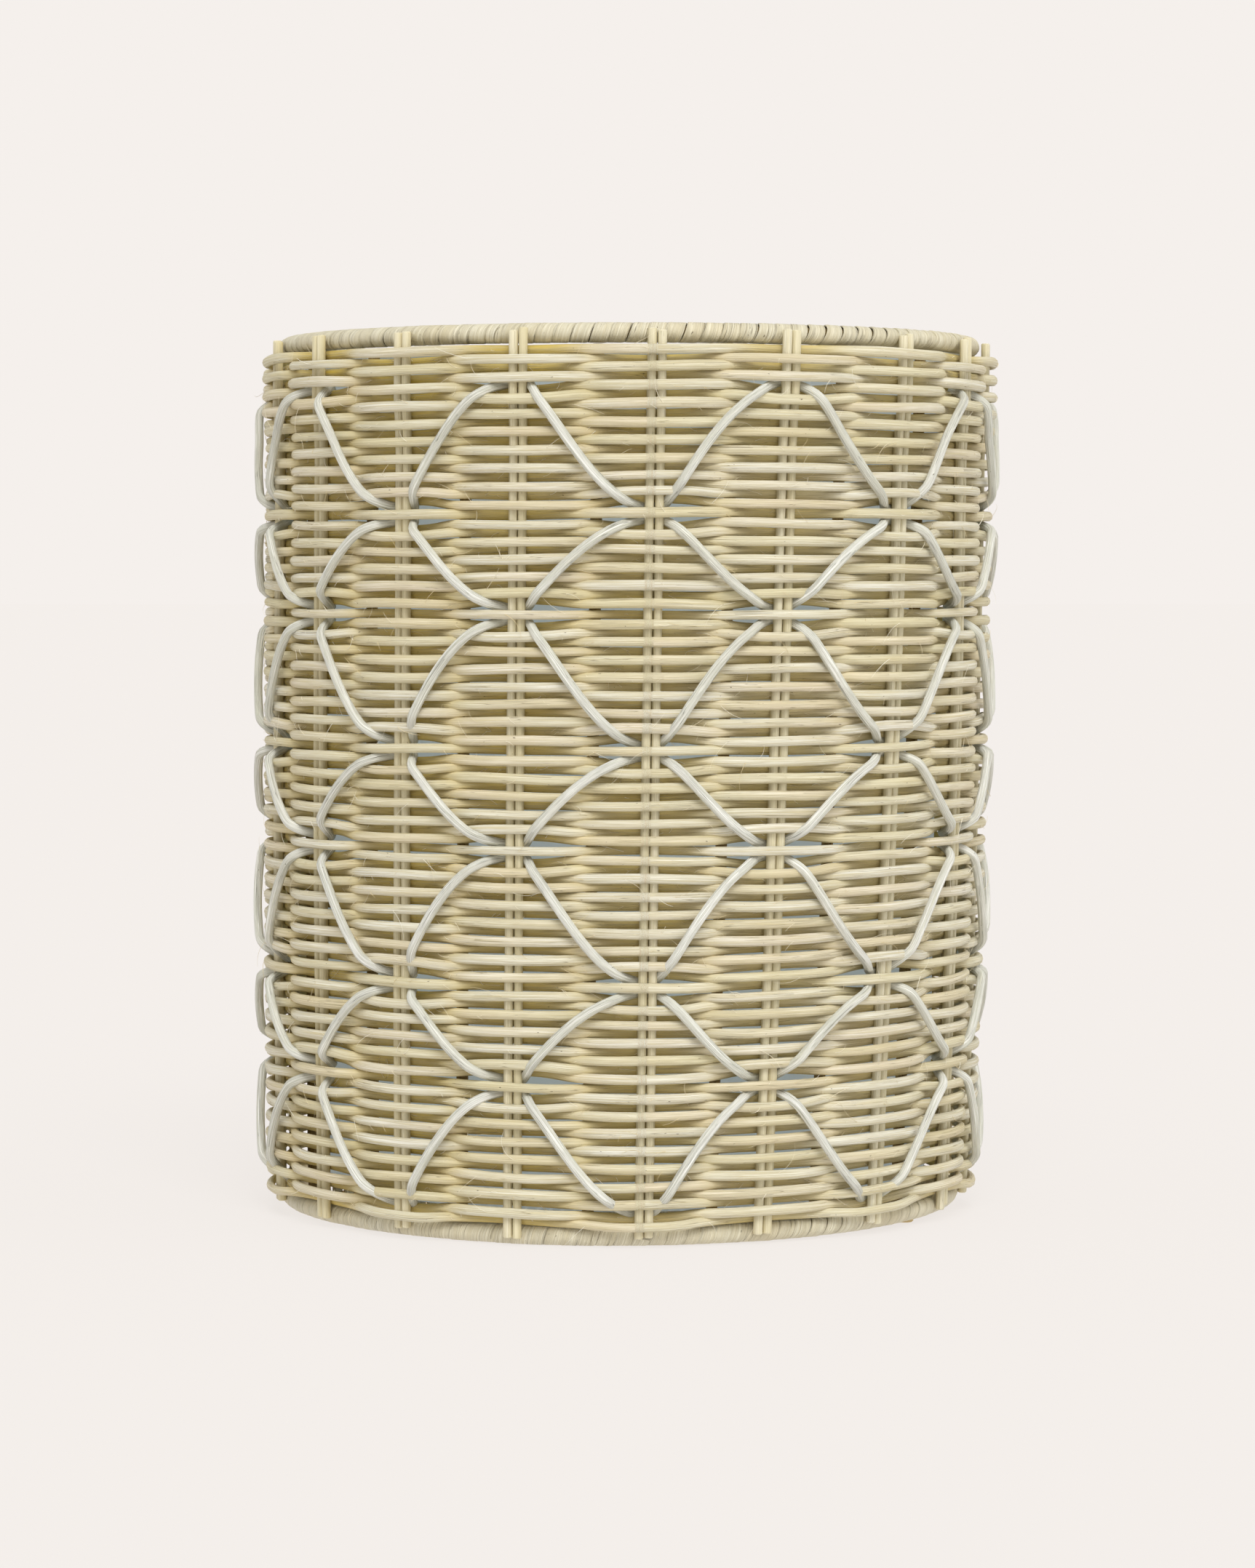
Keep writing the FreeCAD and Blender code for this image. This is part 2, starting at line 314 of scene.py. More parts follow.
def newGroup(name, inputs, outputs):
    group = bpy.data.node_groups.new(name, "ShaderNodeTree")
    for label, kind, value in inputs:
        socket = group.interface.new_socket(label, in_out="INPUT", socket_type=kind)
        if value is not None:
            socket.default_value = value
    for label, kind in outputs:
        group.interface.new_socket(label, in_out="OUTPUT", socket_type=kind)
    given = group.nodes.new("NodeGroupInput").outputs
    return group, given, group.nodes.new("NodeGroupOutput").inputs


def stretchNoise(tree, vector, along, across, detail):
    # noise drawn out along a strand: along and across are features per millimetre
    scale = tree.nodes.new("ShaderNodeVectorMath")
    scale.operation = "MULTIPLY"
    tree.links.new(vector, scale.inputs[0])
    joined = tree.nodes.new("ShaderNodeCombineXYZ")
    for index, value in enumerate((along, across, across)):
        plug(tree, joined.inputs[index], value)
    tree.links.new(joined.outputs[0], scale.inputs[1])
    noise = addNode(tree, "ShaderNodeTexNoise", Scale=1.0, Detail=detail, Roughness=0.55)
    tree.links.new(scale.outputs[0], noise.inputs["Vector"])
    return noise.outputs["Fac"]


def fibreGroup():
    # cane is a bundle of straight fibres: fine lines, a few open cracks, and a matching height
    group, given, out = newGroup(
        "caneFibres",
        [
            ("Laid", "NodeSocketVector", None),
            ("Fineness", "NodeSocketFloat", 3.0),
            ("Crack Width", "NodeSocketFloat", 0.018),
        ],
        [("Fibre", "NodeSocketFloat"), ("Crack", "NodeSocketFloat"), ("Height", "NodeSocketFloat")],
    )
    laid, fineness = given["Laid"], given["Fineness"]
    coarse = stretchNoise(group, laid, 0.035, fineness, 2.0)
    fine = stretchNoise(group, laid, 0.09, mathNode(group, "MULTIPLY", fineness, 2.6), 2.0)
    both = mathNode(group, "MULTIPLY_ADD", coarse, 0.6, mathNode(group, "MULTIPLY", fine, 0.4))
    fibre = rangeNode(group, both, 0.40, 0.60)
    # cracks run where a broad noise crosses its middle, and only in some patches
    split = stretchNoise(group, laid, 0.02, mathNode(group, "MULTIPLY", fineness, 0.45), 1.0)
    ridge = mathNode(group, "ABSOLUTE", mathNode(group, "SUBTRACT", split, 0.5))
    line = rangeNode(group, ridge, 0.0, given["Crack Width"], 1.0, 0.0)
    patch = stretchNoise(group, laid, 0.03, 0.2, 1.0)
    opened = mathNode(group, "MULTIPLY", mathNode(group, "GREATER_THAN", patch, 0.52), line)
    height = mathNode(group, "SUBTRACT", fibre, mathNode(group, "MULTIPLY", opened, 1.6))
    for label, value in (("Fibre", fibre), ("Crack", opened), ("Height", height)):
        group.links.new(value, out[label])
    return group


def driftGroup():
    # slow change of colour along a strand, on top of the strand's own tone
    group, given, out = newGroup(
        "toneDrift",
        [
            ("Laid", "NodeSocketVector", None),
            ("Tone", "NodeSocketFloat", 0.5),
            ("Patches", "NodeSocketFloat", 0.02),
            ("Amount", "NodeSocketFloat", 0.35),
        ],
        [("Drift", "NodeSocketFloat"), ("Blush", "NodeSocketFloat")],
    )
    slow = stretchNoise(group, given["Laid"], given["Patches"], 0.15, 2.0)
    centred = mathNode(group, "SUBTRACT", slow, 0.5)
    moved = mathNode(group, "MULTIPLY", centred, mathNode(group, "MULTIPLY", given["Amount"], 4.0))
    group.links.new(mathNode(group, "ADD", moved, given["Tone"], clamp=True), out["Drift"])
    warm = stretchNoise(group, given["Laid"], 0.012, 0.05, 1.0)
    group.links.new(rangeNode(group, warm, 0.45, 0.7), out["Blush"])
    return group


def speckGroup():
    # small dark specks and grey smudges from handling and damp
    group, given, out = newGroup(
        "specks",
        [
            ("Laid", "NodeSocketVector", None),
            ("Threshold", "NodeSocketFloat", 0.7),
        ],
        [("Speck", "NodeSocketFloat"), ("Smudge", "NodeSocketFloat")],
    )
    small = stretchNoise(group, given["Laid"], 0.5, 1.2, 1.0)
    full = mathNode(group, "ADD", given["Threshold"], 0.05)
    group.links.new(rangeNode(group, small, given["Threshold"], full), out["Speck"])
    wide = stretchNoise(group, given["Laid"], 0.05, 0.35, 2.0)
    group.links.new(rangeNode(group, wide, 0.6, 0.8), out["Smudge"])
    return group


caneFibres = fibreGroup()
toneDrift = driftGroup()
specks = speckGroup()
print("shader groups built")


def placeGroup(tree, group, links=(), **values):
    node = tree.nodes.new("ShaderNodeGroup")
    node.node_tree = group
    for label, value in values.items():
        node.inputs[label.replace("_", " ")].default_value = value
    for label, source in links:
        tree.links.new(source, node.inputs[label])
    return node.outputs


def newMaterial(name):
    material = bpy.data.materials.new(name)
    material.use_nodes = True
    tree = material.node_tree
    return material, tree, tree.nodes["Principled BSDF"]


caneSurface = {"speckDepth": 0.75, "fibreShine": 0.08, "specular": 0.3, "bumpDepth": 0.00025}


def caneMaterial(name, finish):
    # every cane has the same build and its own colours, fineness and wear, and a painted shade where it
    # lies deep in the weave
    material, tree, shader = newMaterial(name)
    laid = addNode(tree, "ShaderNodeAttribute", attribute_name="laid").outputs["Vector"]
    tone = addNode(tree, "ShaderNodeAttribute", attribute_name="tone").outputs["Fac"]
    paintedRecessShade = addNode(tree, "ShaderNodeAttribute", attribute_name="paintedRecessShade").outputs["Fac"]
    fineness, crack = finish["fineness"], finish["crack"]
    fibres = placeGroup(tree, caneFibres, [("Laid", laid)], Fineness=fineness, Crack_Width=crack)
    drift = placeGroup(tree, toneDrift, [("Laid", laid), ("Tone", tone)], Amount=finish["drift"])
    marks = placeGroup(tree, specks, [("Laid", laid)], Threshold=finish["speckFrom"])

    def share(amount, mask):
        return mathNode(tree, "MULTIPLY", mask, amount)

    colour = mixColour(tree, drift["Drift"], finish["dark"], finish["light"])
    colour = mixColour(tree, share(finish["blush"], drift["Blush"]), colour, finish["blushColour"])
    # painted shade: deeper golden colour where the strand lies behind the stakes' centre line
    colour = mixColour(tree, share(finish["paintedRecessShade"], paintedRecessShade), colour, finish["recessShadeColour"])
    between = mathNode(tree, "SUBTRACT", 1.0, fibres["Fibre"])
    colour = mixColour(tree, share(finish["lines"], between), colour, finish["line"])
    colour = mixColour(tree, share(finish["crackDepth"], fibres["Crack"]), colour, finish["crackColour"])
    colour = mixColour(tree, share(finish["smudge"], marks["Smudge"]), colour, finish["smudgeColour"])
    speckShare = share(caneSurface["speckDepth"], marks["Speck"])
    colour = mixColour(tree, speckShare, colour, finish["speckColour"])
    tree.links.new(colour, shader.inputs["Base Color"])
    rough = mathNode(tree, "MULTIPLY_ADD", fibres["Fibre"], -caneSurface["fibreShine"], finish["rough"])
    tree.links.new(rough, shader.inputs["Roughness"])
    shader.inputs["Specular IOR Level"].default_value = caneSurface["specular"]
    bump = addNode(tree, "ShaderNodeBump", Strength=finish["bump"], Distance=caneSurface["bumpDepth"])
    tree.links.new(fibres["Height"], bump.inputs["Height"])
    tree.links.new(bump.outputs[0], shader.inputs["Normal"])
    return material


def linear(red, green, blue):
    # screen colour in 0..255 to a linear colour
    return tuple(((v / 255 + 0.055) / 1.055) ** 2.4 for v in (red, green, blue)) + (1.0,)


weaverCane = caneMaterial("weaverCane", {
    "dark": linear(226, 218, 183), "light": linear(238, 237, 226), "line": linear(198, 184, 140),
    "lines": 0.75, "fineness": 3.2, "crack": 0.010, "crackDepth": 0.6,
    "crackColour": linear(120, 98, 56), "blush": 0.5, "blushColour": linear(230, 211, 181),
    "paintedRecessShade": 0.95, "recessShadeColour": linear(212, 182, 50), "smudge": 0.2,
    "smudgeColour": linear(186, 176, 142), "speckFrom": 0.77, "speckColour": linear(92, 76, 48),
    "drift": 0.30, "rough": 0.58, "bump": 0.6,
})
zigzagCane = caneMaterial("zigzagCane", {
    "dark": linear(244, 244, 234), "light": linear(254, 254, 249), "line": linear(205, 205, 186),
    "lines": 0.85, "fineness": 3.2, "crack": 0.010, "crackDepth": 0.6,
    "crackColour": linear(130, 126, 108), "blush": 0.25, "blushColour": linear(238, 232, 208),
    "paintedRecessShade": 0.3, "recessShadeColour": linear(226, 218, 176), "smudge": 0.3,
    "smudgeColour": linear(222, 214, 182), "speckFrom": 0.78, "speckColour": linear(110, 100, 76),
    "drift": 0.35, "rough": 0.62, "bump": 0.9,
})
stakeCane = caneMaterial("stakeCane", {
    "dark": linear(232, 224, 192), "light": linear(248, 244, 226), "line": linear(210, 200, 162),
    "lines": 0.7, "fineness": 3.2, "crack": 0.010, "crackDepth": 0.5,
    "crackColour": linear(140, 124, 82), "blush": 0.4, "blushColour": linear(230, 217, 175),
    "paintedRecessShade": 0.7, "recessShadeColour": linear(214, 190, 104), "smudge": 0.25,
    "smudgeColour": linear(214, 210, 192), "speckFrom": 0.78, "speckColour": linear(120, 104, 72),
    "drift": 0.25, "rough": 0.58, "bump": 0.5,
})
wrappingCane = caneMaterial("wrappingCane", {
    "dark": linear(221, 213, 184), "light": linear(242, 238, 217), "line": linear(198, 186, 150),
    "lines": 0.6, "fineness": 2.6, "crack": 0.012, "crackDepth": 0.6,
    "crackColour": linear(112, 94, 52), "blush": 0.4, "blushColour": linear(228, 214, 178),
    "paintedRecessShade": 0.0, "recessShadeColour": linear(200, 176, 120), "smudge": 0.3,
    "smudgeColour": linear(202, 190, 152), "speckFrom": 0.76, "speckColour": linear(92, 76, 46),
    "drift": 0.35, "rough": 0.5, "bump": 0.8,
})
# painted shade: the ribs are the same pale cane as the weave, coloured darker for the shade they stand
# in inside the wall; the hoop rods use it too
ribCanePaintedShade = caneMaterial("ribCanePaintedShade", {
    "dark": linear(150, 128, 78), "light": linear(184, 160, 108), "line": linear(120, 98, 56),
    "lines": 0.6, "fineness": 1.8, "crack": 0.02, "crackDepth": 0.6,
    "crackColour": linear(84, 64, 36), "blush": 0.4, "blushColour": linear(160, 130, 84),
    "paintedRecessShade": 0.0, "recessShadeColour": linear(150, 124, 72), "smudge": 0.4,
    "smudgeColour": linear(120, 104, 70), "speckFrom": 0.74, "speckColour": linear(70, 54, 32),
    "drift": 0.4, "rough": 0.6, "bump": 0.6,
})
floorCane = caneMaterial("floorCane", {
    "dark": linear(210, 188, 136), "light": linear(236, 222, 182), "line": linear(172, 146, 94),
    "lines": 0.6, "fineness": 2.0, "crack": 0.014, "crackDepth": 0.6,
    "crackColour": linear(96, 74, 40), "blush": 0.4, "blushColour": linear(220, 192, 144),
    "paintedRecessShade": 0.0, "recessShadeColour": linear(200, 172, 112), "smudge": 0.35,
    "smudgeColour": linear(160, 142, 104), "speckFrom": 0.74, "speckColour": linear(80, 62, 38),
    "drift": 0.4, "rough": 0.6, "bump": 0.6,
})


hairFinish = {"dark": linear(226, 208, 160), "light": linear(255, 252, 238), "rough": 0.6}
plasticFinish = {
    "dark": linear(186, 195, 199), "light": linear(199, 207, 210), "cloudScale": 18.0,
    "scuffScale": 160.0, "rough": 0.28, "scuff": 0.25, "bump": 0.12, "bumpDepth": 0.0002,
    "soak": 0.006, "paintedGlow": linear(208, 218, 220), "paintedGlowStrength": 0.18,
}


def hairMaterial():
    material, tree, shader = newMaterial("looseFibre")
    tone = addNode(tree, "ShaderNodeAttribute", attribute_name="tone").outputs["Fac"]
    colour = mixColour(tree, tone, hairFinish["dark"], hairFinish["light"])
    tree.links.new(colour, shader.inputs["Base Color"])
    shader.inputs["Roughness"].default_value = hairFinish["rough"]
    return material


def linerMaterial():
    # milky moulded plastic: light from the open top soaks through its wall, and a faint painted glow
    # brightens it on top of that
    finish = plasticFinish
    material, tree, shader = newMaterial("milkyPlastic")
    where = addNode(tree, "ShaderNodeTexCoord").outputs["Object"]
    cloud = addNode(tree, "ShaderNodeTexNoise", Scale=finish["cloudScale"], Detail=3.0)
    tree.links.new(where, cloud.inputs["Vector"])
    scuff = addNode(tree, "ShaderNodeTexNoise", Scale=finish["scuffScale"], Detail=4.0, Roughness=0.6)
    tree.links.new(where, scuff.inputs["Vector"])
    tint = mixColour(tree, cloud.outputs["Fac"], finish["dark"], finish["light"])
    tree.links.new(tint, shader.inputs["Base Color"])
    rough = mathNode(tree, "MULTIPLY_ADD", scuff.outputs["Fac"], finish["scuff"], finish["rough"])
    tree.links.new(rough, shader.inputs["Roughness"])
    shader.inputs["Subsurface Weight"].default_value = 1.0
    shader.inputs["Subsurface Radius"].default_value = (1.0, 1.0, 1.0)
    shader.inputs["Subsurface Scale"].default_value = finish["soak"]
    # painted light: the plastic glows faintly though it is no lamp, brightening the gaps in the weave
    shader.inputs["Emission Color"].default_value = finish["paintedGlow"]
    shader.inputs["Emission Strength"].default_value = finish["paintedGlowStrength"]
    bump = addNode(tree, "ShaderNodeBump", Strength=finish["bump"], Distance=finish["bumpDepth"])
    tree.links.new(scuff.outputs["Fac"], bump.inputs["Height"])
    tree.links.new(bump.outputs[0], shader.inputs["Normal"])
    return material


looseFibre = hairMaterial()
milkyPlastic = linerMaterial()
print("materials built")


rows = {
    "count": 97,
    "dividers": [4, 19, 30, 45, 56, 71, 82, 95],    # a zigzag strand turns beside these rows
    "thickness": 3.0,
    "width": 3.42,
    "sizes": (0.91, 1.05),   # from the thinnest row to the thickest
    "swell": 0.04,           # and how much a row's size changes along it
    "swing": 3.0,            # how far a row stands outside or inside the stakes' centre line
    "dive": 0.1,             # above 0 the row stays in front for longer, then dives behind a pair
    "openPitch": 3.2,        # pitch beside a divider, on the sides where strands turn
    "bulge": 1.35,           # how far the rows are pushed aside where a strand turns
    "bulgeReach": 2.2,       # rows over which that fades
    "waves": [(3, 0.10), (8, 0.11), (17, 0.11)],    # a row's own waves round the body, and their size
    "offset": 0.09,          # each row also sits this much too high or too low
    "stagger": 0.09,         # odd rows sit this much higher, even rows lower
    "inOut": 0.12,           # and a row wanders this far in and out
    "top": 293.2,
    "bottom": 8.1,
    "steps": 14,             # samples from one pair to the next
}


def turnsBeside(divider):
    # sides of a divider row on which a strand turns: only below for the first and last
    first, last = rows["dividers"][0], rows["dividers"][-1]
    return (1,) if divider in (first, last) else (-1, 1)


def junctionParity(divider):
    # 0 where the strand turns behind the front pair and every second one, 1 for the others
    return (divider + 1) % 2


def openAfter():
    spots = set()
    for divider in rows["dividers"]:
        for side in turnsBeside(divider):
            spots.add(divider if side > 0 else divider - 1)
    return spots


def restHeights():
    spots = openAfter()
    count = rows["count"] - 1
    pitch = (rows["top"] - rows["bottom"] - len(spots) * rows["openPitch"]) / (count - len(spots))
    heights = [rows["top"]]
    for row in range(1, rows["count"]):
        heights.append(heights[-1] - (rows["openPitch"] if row in spots else pitch))
    return heights


rowHeights = restHeights()


def pushAt(row, parity):
    # how far a row is pushed up (+) or down (-) where it passes a pair of this parity
    push = 0.0
    for divider in rows["dividers"]:
        if junctionParity(divider) != parity:
            continue
        away = row - divider
        if away == 0:
            continue
        side = 1 if away > 0 else -1
        if side in turnsBeside(divider):
            push -= side * rows["bulge"] * math.exp(-(((abs(away) - 1) / rows["bulgeReach"]) ** 2))
    return push


def rowHeightAt(row, theta):
    # height of a row's centre line all the way round, without its own waviness
    where = theta / pairStep
    nearEven = 0.5 + 0.5 * np.cos(np.pi * where)      # 1 at the front pair and every second one
    nearOdd = 1 - nearEven
    even, odd = np.clip(2 * nearEven - 1, 0, 1), np.clip(2 * nearOdd - 1, 0, 1)
    return rowHeights[row - 1] + smooth(even) * pushAt(row, 0) + smooth(odd) * pushAt(row, 1)


def rowSide(row):
    # odd rows pass in front of the front pair, even rows behind it
    return 1 if row % 2 == 1 else -1


def rowStrand(row):
    count = basket["pairCount"] * rows["steps"]
    theta = np.arange(count) * 2 * math.pi / count
    sign = rowSide(row)
    turn = np.pi * theta / pairStep
    path = (1 + rows["dive"]) * np.cos(turn) - rows["dive"] * np.cos(3 * turn)
    radius = basket["weaveRadius"] + sign * rows["swing"] * path
    phase = seedStream.uniform(0, 6.28, 4)
    wave = seedStream.uniform(-rows["offset"], rows["offset"])
    for (waves, size), start in zip(rows["waves"], phase):
        wave = wave + size * np.sin(waves * theta + start)
    # neighbouring rows rise and dip together
    wave = wave + 0.30 * np.sin(4 * theta + row * 0.21) * np.sin(row * 0.16 + 1.3)
    wave = wave + 0.22 * np.sin(9 * theta - row * 0.13) * np.sin(row * 0.29)
    height = rowHeightAt(row, theta) + wave + sign * rows["stagger"]
    radius = radius + rows["inOut"] * np.sin(5 * theta + phase[3])
    centre = place(theta, radius, height)
    size = seedStream.uniform(*rows["sizes"]) * (1 + rows["swell"] * np.sin(6 * theta + phase[1]))
    thick, wide = rows["thickness"] / 2 * size, rows["width"] / 2 * size
    return sweep(centre, centre * (1, 1, 0), thick, wide, closed=True)


def rowPieces():
    last = rows["dividers"][1:]
    bands = [("borderRowsTop", "border_rows_top", 1, rows["dividers"][0])]
    for tier, (above, below) in enumerate(zip(rows["dividers"], last), 1):
        bands.append((f"tierRows{tier}", f"tier_{tier}_rows", above + 1, below))
    bands.append(("borderRowsBottom", "border_rows_bottom", rows["dividers"][-1] + 1, rows["count"]))
    for name, node, first, final in bands:
        strands = [rowStrand(row) for row in range(first, final + 1)]
        makePiece(name, strands, weaverCane, "basket", [node], spread=0.42)


rowPieces()
print("woven rows made")


stakes = {
    "thickness": 3.05, "thicknessVaries": (0.96, 1.03),
    "spacing": 3.2, "spacingVaries": (-0.08, 0.08),    # between the two stakes of a pair
    "top": stakeHigh[2], "topVaries": (-0.8, 0.5),
    "bottom": stakeLow[2], "bottomVaries": (-0.6, 0.8),
    "bevel": 0.35,         # the broken edge of a cut end
    "sway": 0.07,          # how far a stick bends sideways
    "inOut": 0.10,         # and inwards or outwards
}


def uprightStick(theta, radius, aside, bottom, top, half):
    # a standing stick with slightly broken edges at both cut ends
    bevel = stakes["bevel"]
    ends = np.array([0, bevel * 0.5, bevel * 1.5])
    height = np.concatenate([bottom + ends, np.linspace(bottom + 4, top - 4, 34), top - ends[::-1]])
    thick = np.full(len(height), half)
    thick[[0, -1]] = half - bevel
    thick[[1, -2]] = half - bevel * 0.35
    phase = seedStream.uniform(0, 6.28, 2)
    sway = stakes["sway"] * np.sin(height * 0.021 + phase[0])
    out = stakes["inOut"] * np.sin(height * 0.027 + phase[1])
    centre = place(theta + (aside + sway) / radius, radius + out, height)
    return sweep(centre, centre * (1, 1, 0), thick, sides=12, capped=True, wander=0.014)


def stakePairs():
    sticks = []
    radius = basket["weaveRadius"]
    for pair in range(basket["pairCount"]):
        for side in (-0.5, 0.5):
            top = stakes["top"] + seedStream.uniform(*stakes["topVaries"])
            bottom = stakes["bottom"] + seedStream.uniform(*stakes["bottomVaries"])
            aside = side * (stakes["spacing"] + seedStream.uniform(*stakes["spacingVaries"]))
            half = stakes["thickness"] / 2 * seedStream.uniform(*stakes["thicknessVaries"])
            sticks.append(uprightStick(pair * pairStep, radius, aside, bottom, top, half))
    makePiece("outerStakes", sticks, stakeCane, "basket", ["outer_stakes"], spread=0.4)


ribs = {
    "diameter": 3.9,
    "depth": 6.5,       # inside the stakes' centre line
    # how far each rib stands right of the middle between its pairs
    "aside": [4.2, 1.0, -0.6, 0.8, -0.4, 0.5, -0.9, 0.3, 0.7]
    + [-0.5, 0.2, -0.8, 0.6, 0.4, -0.3, 0.2, -0.6, 2.6],
}


def innerRibs():
    sticks = []
    radius, half = basket["weaveRadius"] - ribs["depth"], ribs["diameter"] / 2
    for rib, aside in enumerate(ribs["aside"]):
        theta = (rib + 0.5) * pairStep
        sticks.append(uprightStick(theta, radius, aside, ribLow[2], ribHigh[2], half))
    # the ribs take the cane darkened with painted shade
    makePiece("innerRibs", sticks, ribCanePaintedShade, "basket", ["inner_ribs"], spread=0.4)


stakePairs()
innerRibs()
print("stakes and ribs made")


zigzag = {
    "thickness": 3.1,
    "squash": (0.96, 1.02),    # its section: outwards, and across
    "behind": -3.2,            # depth where it passes behind a pair
    "outside": 5.0,            # how far it stands outside the stakes' centre line beside a pair
    "bow": 0.7,                # and this much further at the middle of its climb
    "bowVaries": (0.8, 1.3),
    "turnGap": 2.2,            # height of its turn above or below the divider row
    "hidden": 2.8,             # the stretch hidden behind a pair on each side of its middle
    "leaving": (1.6, 8.6),     # it comes out between these distances after a pair
    "arriving": (2.0, 14.5),   # and goes back in between these before the next
    "riseShape": 0.65,         # below 1 it leaves a pair steeply and arrives level
    "fallShape": 0.77,
    "shapeVaries": 0.04,
    "dip": 1.2,                # how far the lowest strand stays under its divider row
    "dipLength": 13.0,         # the stretch beside a pair where it does
    "dipStart": 4.0,
    "steps": 44,
}


def zigzagStrand(tier):
    above, below = rows["dividers"][tier], rows["dividers"][tier + 1]
    dips = tier + 2 == len(rows["dividers"])
    first = junctionParity(above)
    topTurn = rowHeights[above - 1] - zigzag["turnGap"]
    bottomTurn = rowHeights[below - 1] + (-zigzag["turnGap"] if dips else zigzag["turnGap"])
    steps, count = zigzag["steps"], basket["pairCount"]
    u = np.arange(steps) / steps
    reach = basket["weaveRadius"] * pairStep
    theta, radius, height = [], [], []
    for n in range(count):
        falls = n % 2 == 0
        start, end = (topTurn, bottomTurn) if falls else (bottomTurn, topTurn)
        shape = zigzag["fallShape"] if falls else zigzag["riseShape"]
        shape += seedStream.uniform(-zigzag["shapeVaries"], zigzag["shapeVaries"])
        x = u * reach
        shown = np.clip((x - zigzag["hidden"]) / (reach - 2 * zigzag["hidden"]), 0, 1)
        ease = smooth(shown**shape)
        leaving = ramp(x, *zigzag["leaving"])
        arriving = ramp(reach - x, *zigzag["arriving"])
        bow = zigzag["bow"] * np.sin(np.pi * ease) * seedStream.uniform(*zigzag["bowVaries"])
        z = start + (end - start) * ease
        if dips:
            # stay under the lowest divider row until the strand is outside it
            fromFoot = reach - x if falls else x
            under = smooth(1 - fromFoot / zigzag["dipLength"])
            z = z - zigzag["dip"] * under * smooth(fromFoot / zigzag["dipStart"])
        theta.append((n + first + u) * pairStep)
        out = np.minimum(leaving, arriving)
        depth = zigzag["behind"] + (zigzag["outside"] - zigzag["behind"]) * out + bow
        radius.append(basket["weaveRadius"] + depth)
        height.append(z)
    theta, radius, height = (np.concatenate(part) for part in (theta, radius, height))
    centre = place(theta, radius, height)
    thick, wide = (zigzag["thickness"] / 2 * share for share in zigzag["squash"])
    return sweep(centre, centre * (1, 1, 0), thick, wide, sides=12, closed=True)


for tier in range(len(rows["dividers"]) - 1):
    makePiece(f"zigzagStrand{tier + 1}", [zigzagStrand(tier)], zigzagCane, "basket",
              [f"zigzag_strand_{tier + 1}"], spread=0.3)
print("zigzag strands made")


wrap = {
    "pitch": 5.6,
    "width": 5.9,
    "thickness": 0.85,
    "squareness": 3.2,         # 2 would be a round section, more is squarer
    "slack": (-0.28, 0.28),    # how far a turn slips along the hoop
    "lift": (-0.08, 0.12),     # and how far it stands off the rod
    "clearance": 0.15,         # between the rod and the strip
    "around": 26,              # samples for each turn
}
rimHeights = {
    "top": basket["height"] - basket["hoopSection"] / 2,
    "bottom": basket["hoopSection"] / 2,
}


def wrapStrand(height):
    # one flat strip wound round the hoop, turn after turn
    section, hoop = basket["hoopSection"] / 2, basket["hoopRadius"]
    turns = round(2 * math.pi * hoop / wrap["pitch"])
    count = turns * wrap["around"]
    t = np.arange(count) / count
    turn = t * turns
    slack = np.interp(turn, np.arange(turns + 1), seedStream.uniform(*wrap["slack"], turns + 1))
    lift = np.interp(turn, np.arange(turns + 1), seedStream.uniform(*wrap["lift"], turns + 1))
    psi = 2 * math.pi * turn
    theta = t * 2 * math.pi + slack / hoop
    middle = section - wrap["thickness"] / 2 + lift
    radius = hoop + middle * np.cos(psi)
    level = height + middle * np.sin(psi)
    centre = place(theta, radius, level)
    outward = centre - place(theta, hoop, height)
    thick, wide = wrap["thickness"] / 2, wrap["width"] / 2
    return sweep(centre, outward, thick, wide, closed=True, power=wrap["squareness"], wander=0.01)


def rimWraps():
    for rim, height in rimHeights.items():
        strand = wrapStrand(height)
        makePiece(f"{rim}RimWrap", [strand], wrappingCane, "basket",
                  [f"{rim}_rim_wrap"], spread=0.0)


def hoopRods():
    # the bent rods that the strips are wound on, following the same handmade body
    count = 240
    theta = np.arange(count) * 2 * math.pi / count
    half = basket["hoopSection"] / 2 - wrap["thickness"] - wrap["clearance"]
    for rim, height in rimHeights.items():
        centre = place(theta, basket["hoopRadius"], height)
        rod = sweep(centre, centre * (1, 1, 0), half, sides=14, closed=True, wander=0.01)
        # the rods take the cane darkened with painted shade
        makePiece(f"{rim}HoopRod", [rod], ribCanePaintedShade, "basket", [f"{rim}_hoop_core"])


rimWraps()
hoopRods()
print("rims wrapped")


floorBars = {
    "canePitch": 4.0,
    "canesEachSide": 27,              # of the cane through the middle
    "caneAside": (-0.08, 0.08),
    "caneShorter": (-1.2, 0.0),       # at its ends, against the circle they fill
    "caneSizes": (0.95, 1.02),
    "wave": 0.08,
}


def roundBar(start, end, half):
    # a lying bar with softened ends, a little wavy
    start, end = np.array(start, float), np.array(end, float)
    t = np.concatenate([[0, 0.003, 0.01], np.linspace(0.04, 0.96, 16), [0.99, 0.997, 1]])[:, None]
    centre = start + (end - start) * t
    phase = seedStream.uniform(0, 6.28)
    centre[:, 2] += floorBars["wave"] * np.sin(9 * t[:, 0] + phase)
    thick = np.full(len(t), half)
    thick[[0, -1]] = half * 0.72
    thick[[1, -2]] = half * 0.92
    outward = np.tile([0.0, 0.0, 1.0], (len(t), 1))
    return sweep(centre, outward, thick, capped=True)


